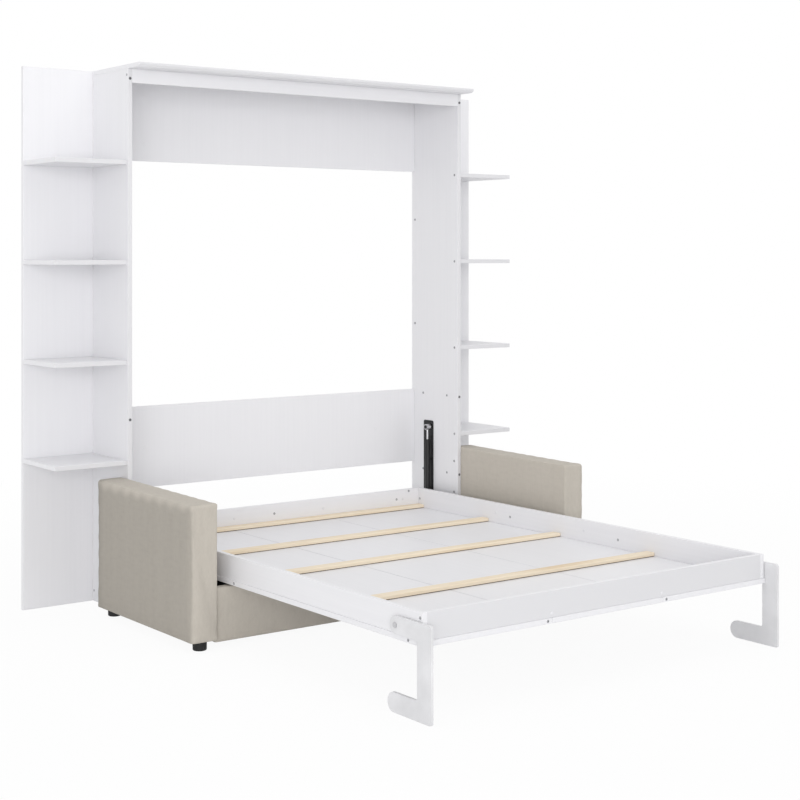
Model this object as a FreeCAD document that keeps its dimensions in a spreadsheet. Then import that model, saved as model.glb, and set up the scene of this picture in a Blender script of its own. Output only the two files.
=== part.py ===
import FreeCAD, Part
import os
import re

import Sketcher

# A wall bed for a 1524 x 2032 mm mattress, in millimetres.
# X runs along the wall, +Y points to the wall and +Z is up.
# The origin is on the floor in the middle of the footprint.

sizes = {
    # boards and clearances
    "board": 18,
    "arris": 1,
    "soft_gap": 0.3,
    "run_gap": 0.05,
    "side_gap": 0.3,
    "overrun": 5,
    # mattress and the room round it
    "mattress_width": 1524,
    "mattress_length": 2032,
    "mattress_side_room": 13,
    "mattress_end_room": 17,
    # cabinet
    "cabinet_height": 2200,
    "post_depth": 352,
    "crown_reach": 96,
    "crown_step": 14,
    "crown_lip": 9,
    "frieze_height": 56,
    "back_board_height": 346,
    "lower_board_rise": 446,
    # open shelves beside the posts
    "shelf_width": 308,
    "shelf_step_back": 10,
    "panel_setback": 16,
    "first_shelf_rise": 595,
    # wall screws
    "wall_hole_diameter": 7,
    "wall_hole_span": 1219,
    "wall_hole_rise": 200,
    # tray of the bed
    "tray_side_room": 41,
    "rail_inset": 3,
    "rail_height": 89,
    "deck_underside": 228,
    "head_setback": 114,
    "deck_lip": 3,
    "seam_offset": 258,
    "seam_gap": 1,
    "slat_width": 45,
    "slat_thickness": 16,
    "slat_edge": 3,
    # tilting pivot and lift
    "pivot_inset": 34,
    "pivot_rise": 226,
    "pivot_diameter": 16,
    "pin_end_room": 1,
    "shoulder_diameter": 26,
    "bush_wall": 3,
    "boss_diameter": 36,
    "boss_length": 16,
    "bracket_thickness": 5,
    "bracket_lobe": 52,
    "lift_plate_thickness": 3,
    "lift_plate_width": 72,
    "lift_plate_setback": 97,
    "lift_plate_top": 651,
    "lift_plate_foot": 172,
    "lift_foot_height": 108,
    # gas struts
    "strut_setback": 148,
    "strut_top_rise": 622,
    "strut_length": 360,
    "strut_diameter": 22,
    "strut_mouth_taper": 5,
    "rod_diameter": 10,
    "rod_shown": 45,
    "rod_hidden": 258,
    "eye_diameter": 27,
    "eye_width": 24,
    "eye_side_room": 5,
    "stud_diameter": 10,
    "stud_head_diameter": 16,
    # legs at the foot
    "leg_reach": 59,
    "leg_width": 70,
    "leg_top_drop": 30,
    "leg_thickness": 10,
    "leg_corner_round": 10,
    "leg_bar_length": 223,
    "leg_bar_height": 64,
    "leg_tab_length": 183,
    "leg_tab_height": 57,
    "leg_stand_off": 1,
    "leg_bolt_diameter": 10,
    "leg_bolt_head_diameter": 20,
    # sofa around the bed
    "arm_width": 102,
    "arm_overlap": 55,
    "arm_length": 760,
    "arm_top": 536,
    "arm_underside": 36,
    "arm_crown": 5,
    "arm_edge_round": 15,
    "foot_diameter": 55,
    "foot_inset": 39,
    "seat_rear_room": 10,
    "seat_inset": 17,
    "seat_pad": 46,
    "seat_underside": 26,
    "seat_top": 205,
    "seat_front_room": 4,
    "seat_edge_round": 10,
    "seat_crown": 4,
    "seat_rail_rise": 46,
    "platform_thickness": 15,
    # screw covers
    "cap_diameter": 12,
    "cap_height": 1.5,
    "cap_edge": 15,
    "bolt_head_diameter": 14,
    "bolt_head_height": 3,
}

# Places of screw covers and slats, as shares of the piece that they follow.
slat_shares = (0, 0.236, 0.471, 0.743)
panel_cap_shares = (0.73, 0.504)
frame_cap_front_share = 0.768
frame_cap_height_shares = (0.354, 0.19)
edge_cap_height_shares = (0.974, 0.353, 0.189)
arm_cap_height_shares = (0.89, 0.623)
rail_cap_shares = (0.28, 0.55, 0.96)
head_cap_shares = (-0.3, 0.3, 0.88)
lift_bolt_shares = (0.06, 0.34, 0.62, 0.84)
foot_taper_share = 0.95

shelf_count = 4
cover_sides = 12
bolt_sides = 6

doc = FreeCAD.newDocument("WallBed")
sheet = doc.addObject("Spreadsheet::Sheet", "Sizes")
for row, (alias, value) in enumerate(sizes.items(), start=1):
    sheet.set(f"A{row}", alias)
    sheet.set(f"B{row}", str(value))
    sheet.setAlias(f"B{row}", alias)
doc.recompute()

nodes = []

# Sizes that follow from the driving ones.
rail_inner = "(mattress_width / 2 + mattress_side_room)"
rail_outer = f"({rail_inner} + board)"
tray_half = f"({rail_outer} + rail_inset)"
post_inner = f"({tray_half} + tray_side_room)"
post_outer = f"({post_inner} + board)"
post_height = "(cabinet_height - board)"
shelf_pitch = f"((cabinet_height - first_shelf_rise) / {shelf_count})"
foot_reach = "(head_setback + 2 * board + mattress_length + mattress_end_room)"
wall = f"(({foot_reach} + leg_reach) / 2)"
panel_front = "(panel_setback + board)"
shelf_reach = "(post_depth - shelf_step_back)"
shelf_depth = f"({shelf_reach} - {panel_front})"
deck_top = "(deck_underside + board)"
rail_top = "(deck_underside + board + rail_height)"
pivot_setback = "(post_depth - pivot_inset)"
plate_face = f"({post_inner} - lift_plate_thickness)"
strut_centre = f"({plate_face} - eye_side_room - eye_width / 2)"
strut_low_rise = "(strut_top_rise - strut_length)"
bracket_face = f"({tray_half} + bracket_thickness)"
leg_inner = f"({tray_half} + leg_stand_off)"
leg_height = f"({rail_top} - leg_top_drop)"
leg_pivot_rise = f"({leg_height} - leg_tab_height / 2)"
leg_pivot_depth = f"({foot_reach} + leg_reach - leg_tab_length)"
arm_inner = f"({post_outer} + soft_gap)"
arm_setback = "(post_depth - arm_overlap)"
arm_reach = f"({arm_setback} + arm_length)"
seat_setback = "(post_depth + seat_rear_room)"
seat_reach = f"({arm_reach} - seat_inset)"
bush_radius = "(pivot_diameter / 2 + run_gap + bush_wall)"


def cells(text):
    """Point each size named in an expression at its cell."""
    return re.sub(r"[a-z_]+", lambda word: "Sizes." + word[0] if word[0] in sizes else word[0], text)


def number(text):
    return float(sheet.evalExpression(cells(text)))


def out(depth):
    """Y of a point that stands out from the wall by a depth."""
    return f"({wall} - ({depth}))"


def sideways(side, near, far):
    """Lowest X of a piece between two distances from the middle."""
    return near if side == "right" else f"-({far})"


def bind(thing, **values):
    for name, text in values.items():
        thing.setExpression(name, cells(text))


def place(thing, x, y, z, turn=None):
    if turn:
        thing.Placement = FreeCAD.Placement(FreeCAD.Vector(), FreeCAD.Rotation(*turn))
    for axis, text in zip("xyz", (x, y, z)):
        thing.setExpression(f"Placement.Base.{axis}", cells(text))


def new_body(label):
    body = doc.addObject("PartDesign::Body", label)
    nodes.append(body)
    return body


def ease(body, kind, size, edges=None):
    """Chamfer or round the edges of a body's last feature."""
    doc.recompute()
    base = body.Tip
    feature = body.newObject("PartDesign::" + kind, body.Name + kind)
    feature.Base = (base, edges or [""])
    feature.UseAllEdges = edges is None
    bind(feature, **{"Size" if kind == "Chamfer" else "Radius": size})


def board(label, low, size, edge="arris"):
    """A straight board with eased edges, given by its lowest corner and its size."""
    body = new_body(label)
    block = body.newObject("PartDesign::AdditiveBox", label + "_block")
    bind(block, Length=size[0], Width=size[1], Height=size[2])
    ease(body, "Chamfer", edge)
    place(body, *low)
    return body


def plane_of(body, role):
    return next(item for item in body.Origin.OriginFeatures if item.Role == role)


def fix_point(sketch, geometry, vertex, x, y):
    """Tie a sketch point to its place, each way by its own size."""
    for way, axis, text in (("DistanceX", -2, x), ("DistanceY", -1, y)):
        if text == "0":
            sketch.addConstraint(Sketcher.Constraint("PointOnObject", geometry, vertex, axis))
        else:
            index = sketch.addConstraint(
                Sketcher.Constraint(way, -1, 1, geometry, vertex, number(text))
            )
            sketch.setExpression(f"Constraints[{index}]", cells(text))


def fix_radius(sketch, geometry, text):
    index = sketch.addConstraint(Sketcher.Constraint("Radius", geometry, number(text)))
    sketch.setExpression(f"Constraints[{index}]", cells(text))


def new_sketch(body, role, name):
    sketch = body.newObject("Sketcher::SketchObject", body.Name + name)
    sketch.AttachmentSupport = [(plane_of(body, role), "")]
    sketch.MapMode = "FlatFace"
    return sketch


def add_outline(sketch, corners):
    """Closed outline, counter-clockwise, whose side after a corner is straight, half round or bowed."""
    points = [FreeCAD.Vector(number(x), number(y), 0) for x, y, kind in corners]
    up = FreeCAD.Vector(0, 0, 1)
    count = len(corners)
    first = sketch.GeometryCount
    for index, (x, y, kind) in enumerate(corners):
        start = points[index]
        end = points[(index + 1) % count]
        if kind is None:
            sketch.addGeometry(Part.LineSegment(start, end))
            continue
        chord = end - start
        outward = chord.cross(up).normalize()
        rise = chord.Length / 2 if kind == "round" else number(kind[1])
        middle = (start + end) / 2 + outward * rise
        sketch.addGeometry(Part.Arc(start, middle, end))
    for index, (x, y, kind) in enumerate(corners):
        following = first + (index + 1) % count
        sketch.addConstraint(Sketcher.Constraint("Coincident", first + index, 2, following, 1))
    for index, (x, y, kind) in enumerate(corners):
        fix_point(sketch, first + index, 1, x, y)
        if kind == "round":
            next_corner = corners[(index + 1) % count]
            way = "Vertical" if next_corner[0] == x else "Horizontal"
            sketch.addConstraint(Sketcher.Constraint(way, first + index, 1, first + index, 3))
        elif kind:
            chord, rise = kind
            fix_radius(sketch, first + index, f"(({chord}) ^ 2 / 4 + ({rise}) ^ 2) / (2 * ({rise}))")


def add_circle(sketch, x, y, radius):
    centre = FreeCAD.Vector(number(x), number(y), 0)
    index = sketch.addGeometry(Part.Circle(centre, FreeCAD.Vector(0, 0, 1), number(radius)))
    fix_point(sketch, index, 3, x, y)
    fix_radius(sketch, index, radius)


def add_pad(body, sketch, length, reverse=False, middle=False):
    doc.recompute()
    pad = body.newObject("PartDesign::Pad", sketch.Name + "Pad")
    pad.Profile = sketch
    pad.Reversed = reverse
    pad.Midplane = middle
    bind(pad, Length=length)
    doc.recompute()
    return pad


def add_turned(body, sketch):
    doc.recompute()
    turned = body.newObject("PartDesign::Revolution", sketch.Name + "Turned")
    turned.Profile = sketch
    turned.ReferenceAxis = (sketch, ["V_Axis"])
    turned.Angle = 360
    doc.recompute()


def stepped_pin(label, side, depth, rise, start, steps):
    """Round pin that points inwards from a plate: each step is a radius and a length."""
    body = new_body(label)
    sketch = new_sketch(body, "XZ_Plane", "Profile")
    corners = [("0", "0", None)]
    reach = "0"
    for radius, length in steps:
        corners.append((radius, reach, None))
        reach = length if reach == "0" else f"({reach} + {length})"
        corners.append((radius, reach, None))
    corners.append(("0", reach, None))
    add_outline(sketch, corners)
    add_turned(body, sketch)
    turn = (FreeCAD.Vector(0, 1, 0), -90 if side == "right" else 90)
    x = start if side == "right" else f"-({start})"
    place(body, x, out(depth), rise, turn)


def cap(name, x, y, z, turn, sides=cover_sides, radius="cap_diameter / 2", height="cap_height"):
    """Low cover or bolt head, standing on the face that it is turned to."""
    head = doc.addObject("Part::Prism", name)
    head.Polygon = sides
    bind(head, Circumradius=radius, Height=height)
    place(head, x, y, z, turn)
    return head


def group(label, members):
    """Alike fasteners as one node of separate solids."""
    compound = doc.addObject("Part::Compound", label)
    compound.Links = members
    nodes.append(compound)


towards_left = (FreeCAD.Vector(0, 1, 0), -90)
towards_right = (FreeCAD.Vector(0, 1, 0), 90)
towards_front = (FreeCAD.Vector(1, 0, 0), 90)
sides = ("left", "right")


def upright_frame():
    for side in sides:
        x = sideways(side, post_inner, post_outer)
        board(f"{side}_post", (x, out("post_depth"), "0"), ("board", "post_depth", post_height))
    board(
        "frieze",
        (f"-{post_inner}", out("post_depth"), f"{post_height} - frieze_height"),
        (f"2 * {post_inner}", "board", "frieze_height"),
    )
    back_boards = {
        "upper_back_board": f"{post_height} - back_board_height",
        "lower_back_board": "lower_board_rise",
    }
    for label, rise in back_boards.items():
        body = board(
            label,
            (f"-{post_inner}", out("board"), rise),
            (f"2 * {post_inner}", "board", "back_board_height"),
        )
        doc.recompute()
        solid = body.Shape.Volume
        sketch = new_sketch(body, "XZ_Plane", "Holes")
        for across in ("-", "+"):
            x = f"({post_inner} {across} wall_hole_span / 2)"
            rises = ("-", "+") if label == "upper_back_board" else ("",)
            for up in rises:
                offset = f"{up} wall_hole_rise / 2" if up else ""
                add_circle(sketch, x, f"(back_board_height / 2 {offset})", "wall_hole_diameter / 2")
        doc.recompute()
        drill = body.newObject("PartDesign::Pocket", label + "_drill")
        drill.Profile = sketch
        drill.Type = "ThroughAll"
        drill.Midplane = True
        doc.recompute()
        if body.Shape.Volume >= solid:
            raise RuntimeError(label + " has no wall screw holes")


def crown():
    """Top board whose front edge steps back under its lip."""
    body = new_body("top_board")
    sketch = new_sketch(body, "YZ_Plane", "Profile")
    depth = "(post_depth + crown_reach)"
    add_outline(sketch, [
        ("crown_step", "0", None),
        (depth, "0", None),
        (depth, "board", None),
        ("0", "board", None),
        ("0", "(board - crown_lip)", None),
    ])
    add_pad(body, sketch, f"2 * {post_outer}")
    ease(body, "Chamfer", "arris")
    place(body, f"-{post_outer}", out(depth), post_height)


def shelf_units():
    for side in sides:
        x = sideways(side, post_outer, f"{post_outer} + shelf_width")
        board(
            f"{side}_shelf_back",
            (x, out(panel_front), "0"),
            ("shelf_width", "board", "cabinet_height"),
        )
        for index in range(shelf_count):
            board(
                f"{side}_shelf_{index + 1}",
                (x, out(shelf_reach), f"first_shelf_rise + {index} * {shelf_pitch}"),
                ("shelf_width", shelf_depth, "board"),
            )


def lift_plates():
    for side in sides:
        body = new_body(f"{side}_lift_plate")
        sketch = new_sketch(body, "YZ_Plane", "Outline")
        front = f"({pivot_setback} + boss_diameter / 2)"
        foot = f"({front} - lift_plate_setback)"
        step = f"({foot} - lift_plate_width)"
        add_outline(sketch, [
            ("0", "0", None),
            (foot, "0", None),
            (foot, "(lift_plate_top - lift_plate_foot)", None),
            (step, "(lift_plate_top - lift_plate_foot)", None),
            (step, "lift_foot_height", None),
            ("0", "lift_foot_height", None),
        ])
        add_pad(body, sketch, "lift_plate_thickness")
        upright = [
            f"Edge{index}"
            for index, edge in enumerate(body.Tip.Shape.Edges, start=1)
            if abs(edge.tangentAt(edge.FirstParameter).x) > 0.9
        ]
        ease(body, "Fillet", "boss_diameter / 4", upright)
        x = sideways(side, plate_face, post_inner)
        place(body, x, out(front), "lift_plate_foot")

        shoulder = f"({plate_face} - {tray_half} - boss_length - side_gap)"
        stepped_pin(f"{side}_pivot_pin", side, pivot_setback, "pivot_rise", plate_face, [
            ("shoulder_diameter / 2", shoulder),
            ("pivot_diameter / 2", "(boss_length + side_gap - pin_end_room)"),
        ])
        collar = "(eye_side_room - side_gap)"
        stepped_pin(f"{side}_strut_pin", side, "strut_setback", "strut_top_rise", plate_face, [
            ("stud_head_diameter / 2", collar),
            ("stud_diameter / 2", "(eye_width + 2 * side_gap)"),
            ("stud_head_diameter / 2", "bracket_thickness / 2"),
        ])
    heads = []
    for side in sides:
        x = plate_face if side == "right" else f"-{plate_face}"
        turn = towards_left if side == "right" else towards_right
        for index, share in enumerate(lift_bolt_shares):
            rise = f"(lift_plate_foot + {share} * (lift_plate_top - lift_plate_foot))"
            depth = "(lift_plate_setback + lift_plate_width - cap_edge)"
            heads.append(cap(
                f"{side}_lift_bolt_{index}", x, out(depth), rise, turn,
                bolt_sides, "bolt_head_diameter / 2", "bolt_head_height",
            ))
    group("lift_plate_bolts", heads)


def screw_covers():
    covers = []
    for side in sides:
        x = post_inner if side == "right" else f"-{post_inner}"
        turn = towards_left if side == "right" else towards_right
        places = [
            (f"({shelf_reach} - cap_edge)", f"(first_shelf_rise + board / 2 + {index} * {shelf_pitch})")
            for index in range(shelf_count)
        ]
        places += [
            ("(panel_setback + board / 2)", f"({share} * cabinet_height)") for share in panel_cap_shares
        ]
        behind_plate = "(lift_plate_setback - 2 / 3 * cap_diameter)"
        places += [
            (depth, f"({share} * cabinet_height)")
            for depth in (behind_plate, f"({frame_cap_front_share} * post_depth)")
            for share in frame_cap_height_shares
        ]
        places += [
            ("(post_depth - arm_overlap / 2)", f"({share} * arm_top)") for share in arm_cap_height_shares
        ]
        for index, (depth, rise) in enumerate(places):
            covers.append(cap(f"{side}_post_cover_{index}", x, out(depth), rise, turn))
    group("post_screw_covers", covers)

    covers = []
    for side in sides:
        x = f"({post_inner} + board / 2)"
        x = x if side == "right" else f"-{x}"
        for index, share in enumerate(edge_cap_height_shares):
            covers.append(cap(
                f"{side}_edge_cover_{index}", x, out("post_depth"),
                f"({share} * cabinet_height)", towards_front,
            ))
    group("front_edge_covers", covers)


def tray():
    rail_length = f"({foot_reach} - head_setback)"
    for side in sides:
        x = sideways(side, rail_inner, rail_outer)
        low = (x, out(foot_reach), deck_top)
        board(f"{side}_side_rail", low, ("board", rail_length, "rail_height"))
    cross_rails = {"foot_rail": foot_reach, "head_rail": "(head_setback + board)"}
    for label, depth in cross_rails.items():
        board(
            label,
            (f"-{rail_inner}", out(depth), deck_top),
            (f"2 * {rail_inner}", "board", "rail_height"),
        )
    deck_reach = f"({foot_reach} + deck_lip)"
    seam = "(seam_offset + seam_gap / 2)"
    inner_seam = "(seam_offset - seam_gap / 2)"
    outer_panel = f"({tray_half} - {seam})"
    panels = {
        "deck_panel_left": (f"-{tray_half}", outer_panel),
        "deck_panel_centre": (f"-{inner_seam}", f"2 * {inner_seam}"),
        "deck_panel_right": (seam, outer_panel),
    }
    for label, (x, width) in panels.items():
        low = (x, out(deck_reach), "deck_underside")
        board(label, low, (width, f"({deck_reach} - head_setback)", "board"))
    room = "(mattress_length + mattress_end_room - slat_width)"
    for index, share in enumerate(slat_shares, start=1):
        front = f"(head_setback + board + slat_width + {share} * {room})"
        board(
            f"slat_{index}",
            (f"-{rail_inner}", out(front), deck_top),
            (f"2 * {rail_inner}", "slat_width", "slat_thickness"),
            "slat_edge",
        )


def tray_covers():
    covers = []
    for sign in ("-", ""):
        for index, offset in enumerate(("seam_offset", f"({rail_outer} - board / 2)")):
            covers.append(cap(
                f"foot_cover{sign}{index}".replace("-", "_left_"), f"{sign}{offset}",
                out(foot_reach), f"({deck_top} + cap_edge)", towards_front,
            ))
    group("foot_rail_covers", covers)

    covers = []
    rail_middle = f"({deck_top} + rail_height / 2)"
    for side in sides:
        x = rail_inner if side == "right" else f"-{rail_inner}"
        turn = towards_left if side == "right" else towards_right
        for index, share in enumerate(rail_cap_shares):
            depth = f"(head_setback + {share} * ({foot_reach} - head_setback))"
            covers.append(cap(f"{side}_rail_cover_{index}", x, out(depth), rail_middle, turn))
    for index, share in enumerate(head_cap_shares):
        covers.append(cap(
            f"head_cover_{index}", f"{share} * {rail_inner}", out("(head_setback + board)"),
            rail_middle, towards_front,
        ))
    group("rail_screw_covers", covers)


def pivot_brackets():
    """Steel bracket on each side rail: a lobe round the pivot and an arm to the strut's stud."""
    for side in sides:
        body = new_body(f"{side}_pivot_bracket")
        front = f"({pivot_setback} + bracket_lobe / 2)"
        back = f"({front} - strut_setback + eye_diameter)"
        floor = f"({strut_low_rise} - eye_diameter)"
        top = f"({rail_top} - cap_edge)"
        left = side == "left"
        sketch = new_sketch(body, "YZ_Plane", "Outline")
        add_outline(sketch, [
            ("0", "pivot_rise", "round"),
            ("bracket_lobe", "pivot_rise", None),
            ("bracket_lobe", floor, None),
            (back, floor, None),
            (back, top, None),
            ("0", top, None),
        ])
        add_circle(sketch, "bracket_lobe / 2", "pivot_rise", bush_radius)
        add_pad(body, sketch, "bracket_thickness", left)

        boss = new_sketch(body, "YZ_Plane", "Boss")
        add_circle(boss, "bracket_lobe / 2", "pivot_rise", "boss_diameter / 2")
        add_circle(boss, "bracket_lobe / 2", "pivot_rise", bush_radius)
        add_pad(body, boss, "boss_length", left)

        packing = new_sketch(body, "YZ_Plane", "Packing")
        add_outline(packing, [
            ("cap_edge", f"({deck_top} + arris)", None),
            (f"({back} - cap_edge)", f"({deck_top} + arris)", None),
            (f"({back} - cap_edge)", top, None),
            ("cap_edge", top, None),
        ])
        add_pad(body, packing, "rail_inset", not left)
        x = tray_half if side == "right" else f"-{tray_half}"
        place(body, x, out(front), "0")

    rings = []
    studs = []
    for side in sides:
        turn = towards_right if side == "right" else towards_left
        sign = "" if side == "right" else "-"
        seat = (f"{sign}{tray_half}", out(pivot_setback), "pivot_rise", turn)
        sleeve = doc.addObject("Part::Cylinder", f"{side}_bush_sleeve")
        bind(sleeve, Radius=bush_radius, Height="boss_length")
        place(sleeve, *seat)
        bore = doc.addObject("Part::Cylinder", f"{side}_bush_bore")
        bind(bore, Radius="pivot_diameter / 2 + run_gap", Height="boss_length")
        place(bore, *seat)
        ring = doc.addObject("Part::Cut", f"{side}_bush")
        ring.Base = sleeve
        ring.Tool = bore
        rings.append(ring)
        reach = f"({strut_centre} - eye_width / 2 - side_gap - {bracket_face})"
        studs.append(cap(
            f"{side}_stud", f"{sign}{bracket_face}", out("strut_setback"), strut_low_rise, turn,
            bolt_sides, "stud_head_diameter / 2", reach,
        ))
    group("pivot_bushes", rings)
    group("strut_studs", studs)


def struts():
    """Gas struts: the rod hangs from the frame and slides in a cylinder that stands on the tray."""
    for side in sides:
        sign = "" if side == "right" else "-"
        rod = new_body(f"{side}_strut_rod")
        eye = new_sketch(rod, "YZ_Plane", "Eye")
        add_circle(eye, "0", "0", "eye_diameter / 2")
        add_circle(eye, "0", "0", "stud_diameter / 2 + run_gap")
        add_pad(rod, eye, "eye_width", middle=True)
        bar = new_sketch(rod, "XY_Plane", "Bar")
        add_circle(bar, "0", "0", "rod_diameter / 2")
        bar.setExpression("AttachmentOffset.Base.z", cells("-(eye_diameter + stud_diameter) / 4"))
        add_pad(rod, bar, "(rod_shown + rod_hidden)", reverse=True)
        place(rod, f"{sign}{strut_centre}", out("strut_setback"), "strut_top_rise")

        tube = new_body(f"{side}_strut_cylinder")
        profile = new_sketch(tube, "XZ_Plane", "Profile")
        mouth = "(strut_length - eye_diameter / 2 - rod_shown)"
        low = "(eye_diameter / 4)"
        rod_start = "(eye_diameter + stud_diameter) / 4"
        floor = f"(strut_length - {rod_start} - rod_shown - rod_hidden - overrun)"
        bore = "(rod_diameter / 2 + run_gap)"
        add_outline(profile, [
            ("0", low, None),
            ("strut_diameter / 2", low, None),
            ("strut_diameter / 2", f"({mouth} - strut_mouth_taper)", None),
            ("(strut_diameter / 2 - strut_mouth_taper / 2)", mouth, None),
            (bore, mouth, None),
            (bore, floor, None),
            ("0", floor, None),
        ])
        add_turned(tube, profile)
        eye = new_sketch(tube, "YZ_Plane", "Eye")
        add_circle(eye, "0", "0", "eye_diameter / 2")
        add_pad(tube, eye, "eye_width", middle=True)
        hole = new_sketch(tube, "YZ_Plane", "Hole")
        add_circle(hole, "0", "0", "stud_diameter / 2")
        doc.recompute()
        solid = tube.Shape.Volume
        drill = tube.newObject("PartDesign::Pocket", f"{side}_strut_drill")
        drill.Profile = hole
        drill.Midplane = True
        bind(drill, Length="eye_width + overrun")
        doc.recompute()
        if tube.Shape.Volume >= solid:
            raise RuntimeError(f"{side} strut eye has no hole")
        place(tube, f"{sign}{strut_centre}", out("strut_setback"), strut_low_rise)


def legs():
    """Flat steel legs: a tab on the pivot bolt, an upright before the foot rail and a foot bar."""
    bolts = []
    for side in sides:
        body = new_body(f"{side}_leg")
        sketch = new_sketch(body, "YZ_Plane", "Outline")
        bar_end = "(leg_bar_length - leg_bar_height / 2)"
        tab_floor = f"({leg_height} - leg_tab_height)"
        add_outline(sketch, [
            ("0", "0", None),
            (bar_end, "0", "round"),
            (bar_end, "leg_bar_height", None),
            ("leg_width", "leg_bar_height", None),
            ("leg_width", tab_floor, None),
            ("leg_tab_length", tab_floor, "round"),
            ("leg_tab_length", leg_height, None),
            ("0", leg_height, None),
        ])
        add_circle(sketch, "leg_tab_length", leg_pivot_rise, "leg_bolt_diameter / 2 + run_gap")
        add_pad(body, sketch, "leg_thickness")
        corners = [
            f"Edge{index}"
            for index, edge in enumerate(body.Tip.Shape.Edges, start=1)
            if abs(edge.tangentAt(edge.FirstParameter).x) > 0.9
            and edge.Vertexes[0].Point.y < number("leg_width + leg_corner_round")
        ]
        ease(body, "Fillet", "leg_corner_round", corners)
        x = sideways(side, leg_inner, f"{leg_inner} + leg_thickness")
        place(body, x, out(f"({foot_reach} + leg_reach)"), "0")

        spacer = doc.addObject("Part::Cylinder", f"{side}_leg_spacer")
        bind(spacer, Radius="leg_bolt_head_diameter / 2", Height="rail_inset + leg_stand_off - side_gap")
        shank = doc.addObject("Part::Cylinder", f"{side}_leg_shank")
        reach = "(rail_inset + leg_stand_off + leg_thickness + side_gap)"
        bind(shank, Radius="leg_bolt_diameter / 2", Height=reach)
        turn = towards_right if side == "right" else towards_left
        sign = "" if side == "right" else "-"
        place(spacer, f"{sign}{rail_outer}", out(leg_pivot_depth), leg_pivot_rise, turn)
        place(shank, f"{sign}{rail_outer}", out(leg_pivot_depth), leg_pivot_rise, turn)
        head = cap(
            f"{side}_leg_head", f"{sign}({rail_outer} + {reach})", out(leg_pivot_depth), leg_pivot_rise,
            turn, bolt_sides, "leg_bolt_head_diameter / 2", "bolt_head_height",
        )
        whole = doc.addObject("Part::MultiFuse", f"{side}_leg_bolt")
        whole.Shapes = [spacer, shank, head]
        bolts.append(whole)
    group("leg_pivot_bolts", bolts)


def sofa():
    for side in sides:
        body = new_body(f"{side}_arm")
        sketch = new_sketch(body, "XZ_Plane", "Section")
        height = "(arm_top - arm_underside - arm_crown)"
        flat = "(arm_width - arm_crown)"
        add_outline(sketch, [
            ("0", "0", None),
            (flat, "0", (height, "arm_crown")),
            (flat, height, (flat, "arm_crown")),
            ("0", height, None),
        ])
        add_pad(body, sketch, "arm_length", reverse=side == "left")
        shown = [
            f"Edge{index}"
            for index, edge in enumerate(body.Tip.Shape.Edges, start=1)
            if max(vertex.Point.z for vertex in edge.Vertexes) > number("arm_edge_round")
        ]
        ease(body, "Fillet", "arm_edge_round", shown)
        if side == "right":
            place(body, arm_inner, out(arm_setback), "arm_underside")
        else:
            turn = (FreeCAD.Vector(0, 0, 1), 180)
            place(body, f"-{arm_inner}", out(arm_setback), "arm_underside", turn)

    feet = []
    for side in sides:
        sign = "" if side == "right" else "-"
        x = f"{sign}({arm_inner} + arm_width / 2)"
        ends = {"rear": f"{arm_setback} + foot_inset", "front": f"{arm_reach} - foot_inset"}
        for end, depth in ends.items():
            foot = doc.addObject("Part::Cone", f"{side}_{end}_foot")
            bind(
                foot, Radius1=f"foot_diameter / 2 * {foot_taper_share}", Radius2="foot_diameter / 2",
                Height="arm_underside",
            )
            place(foot, x, out(depth), "0")
            feet.append(foot)
    group("arm_feet", feet)

    body = new_body("seat_front")
    sketch = new_sketch(body, "YZ_Plane", "Section")
    height = "(deck_underside - seat_front_room - seat_underside)"
    pad = "(seat_pad - seat_crown)"
    add_outline(sketch, [
        ("0", "0", None),
        (pad, "0", None),
        (pad, height, None),
        ("0", height, (height, "seat_crown")),
    ])
    add_pad(body, sketch, f"2 * {post_outer}")
    shown = [
        f"Edge{index}"
        for index, edge in enumerate(body.Tip.Shape.Edges, start=1)
        if max(vertex.Point.y for vertex in edge.Vertexes) < number("seat_edge_round")
    ]
    ease(body, "Fillet", "seat_edge_round", shown)
    place(body, f"-{post_outer}", out(f"({seat_reach} - seat_crown)"), "seat_underside")

    frame_reach = f"({seat_reach} - seat_pad - soft_gap)"
    frame_length = f"({frame_reach} - {seat_setback})"
    rail_height = "(seat_top - platform_thickness - seat_rail_rise)"
    for side in sides:
        x = sideways(side, f"({post_outer} - board)", post_outer)
        low = (x, out(frame_reach), "seat_rail_rise")
        board(f"{side}_seat_rail", low, ("board", frame_length, rail_height))
    cross_rails = {"rear_seat_rail": f"({seat_setback} + board)", "front_seat_rail": frame_reach}
    for label, depth in cross_rails.items():
        board(
            label,
            (f"-({post_outer} - board)", out(depth), "seat_rail_rise"),
            (f"2 * ({post_outer} - board)", "board", rail_height),
        )
    board(
        "seat_platform",
        (f"-{post_outer}", out(frame_reach), "seat_top - platform_thickness"),
        (f"2 * {post_outer}", frame_length, "platform_thickness"),
    )


upright_frame()
crown()
shelf_units()
lift_plates()
screw_covers()
tray()
tray_covers()
pivot_brackets()
struts()
legs()
sofa()
doc.recompute()

for thing in doc.Objects:
    if "Invalid" in thing.State or "Error" in thing.State:
        raise RuntimeError(f"{thing.Name} failed: {thing.State}")
for node in nodes:
    if node.Shape.isNull() or not node.Shape.isValid():
        raise RuntimeError(f"{node.Label} has no valid shape")

os.makedirs("parts", exist_ok=True)
for node in nodes:
    node.Shape.exportStep(f"parts/{node.Label}.step")
print(len(nodes), "nodes written")
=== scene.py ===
import math

import bmesh
import bpy
from mathutils import Matrix, Vector, noise


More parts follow.
